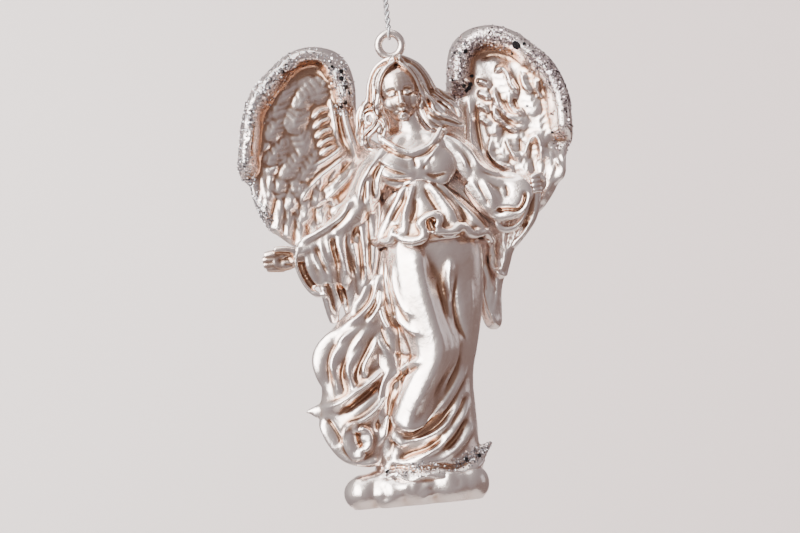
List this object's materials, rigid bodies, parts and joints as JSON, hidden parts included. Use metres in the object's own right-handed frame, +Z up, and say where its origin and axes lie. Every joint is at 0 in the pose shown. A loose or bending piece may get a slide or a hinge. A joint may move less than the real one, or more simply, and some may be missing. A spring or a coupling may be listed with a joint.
{
  "type": "resin angel figurine",
  "caption": "Hanging resin angel on a cloud, with open feathered wings and flowing robes, in pearl champagne finish, hung by a ring from a twisted silver thread.",
  "frame": {"origin": "the point at the top of the hanging loop that a hook bears on; the angel hangs below it", "axes": "+Z up the hanging thread, -Y the way the angel faces, +X towards the angel's left wing"},
  "size_m": [0.0847, 0.0232, 0.1664],
  "materials": {
    "pearl_champagne": "satin pearl metallic lacquer over cast resin",
    "silver_glitter": "fine silver glitter in clear glue",
    "black_flake": "glossy six-sided film flakes",
    "silver_thread": "two twisted metallic yarns",
    "dowel_steel": "plain cut wire"
  },
  "bodies": {
    "hook_loop": {"hanging_loop": "silver_thread", "cord_knot": "silver_thread"},
    "thread": {"hanging_cord": "silver_thread"},
    "thread_turn": {"cord_bight": "silver_thread"},
    "angel": {"hanging_ring": "pearl_champagne", "head": "pearl_champagne", "hair": "pearl_champagne", "bodice": "pearl_champagne", "right_sleeve": "pearl_champagne", "left_sleeve": "pearl_champagne", "right_hand": "pearl_champagne", "left_hand": "pearl_champagne", "overskirt": "pearl_champagne", "robe_skirt": "pearl_champagne", "windblown_drape": "pearl_champagne", "cloud_base": "pearl_champagne", "right_wing": "pearl_champagne", "left_wing": "pearl_champagne", "right_wing_glitter": "silver_glitter", "left_wing_glitter": "silver_glitter", "hem_glitter": "silver_glitter", "right_wing_flakes": "black_flake", "left_wing_flakes": "black_flake", "hem_flakes": "black_flake", "neck_pin": "dowel_steel", "wing_pins": "dowel_steel", "base_pin": "dowel_steel"}
  },
  "joints": [
    {"name": "thread_twist", "type": "hinge", "parent": "hook_loop", "child": "thread", "pos_m": [0, 0, -0.01444], "axis": [0, 0, 1], "range_deg": [-180, 180]},
    {"name": "front_back_rock", "type": "hinge", "parent": "thread", "child": "thread_turn", "pos_m": [0, 0, -0.04783], "axis": [1, 0, 0], "range_deg": [-60, 60]},
    {"name": "side_swing", "type": "hinge", "parent": "thread_turn", "child": "angel", "pos_m": [0, 0, -0.05076], "axis": [0, 1, 0], "range_deg": [-45, 45]}
  ]
}
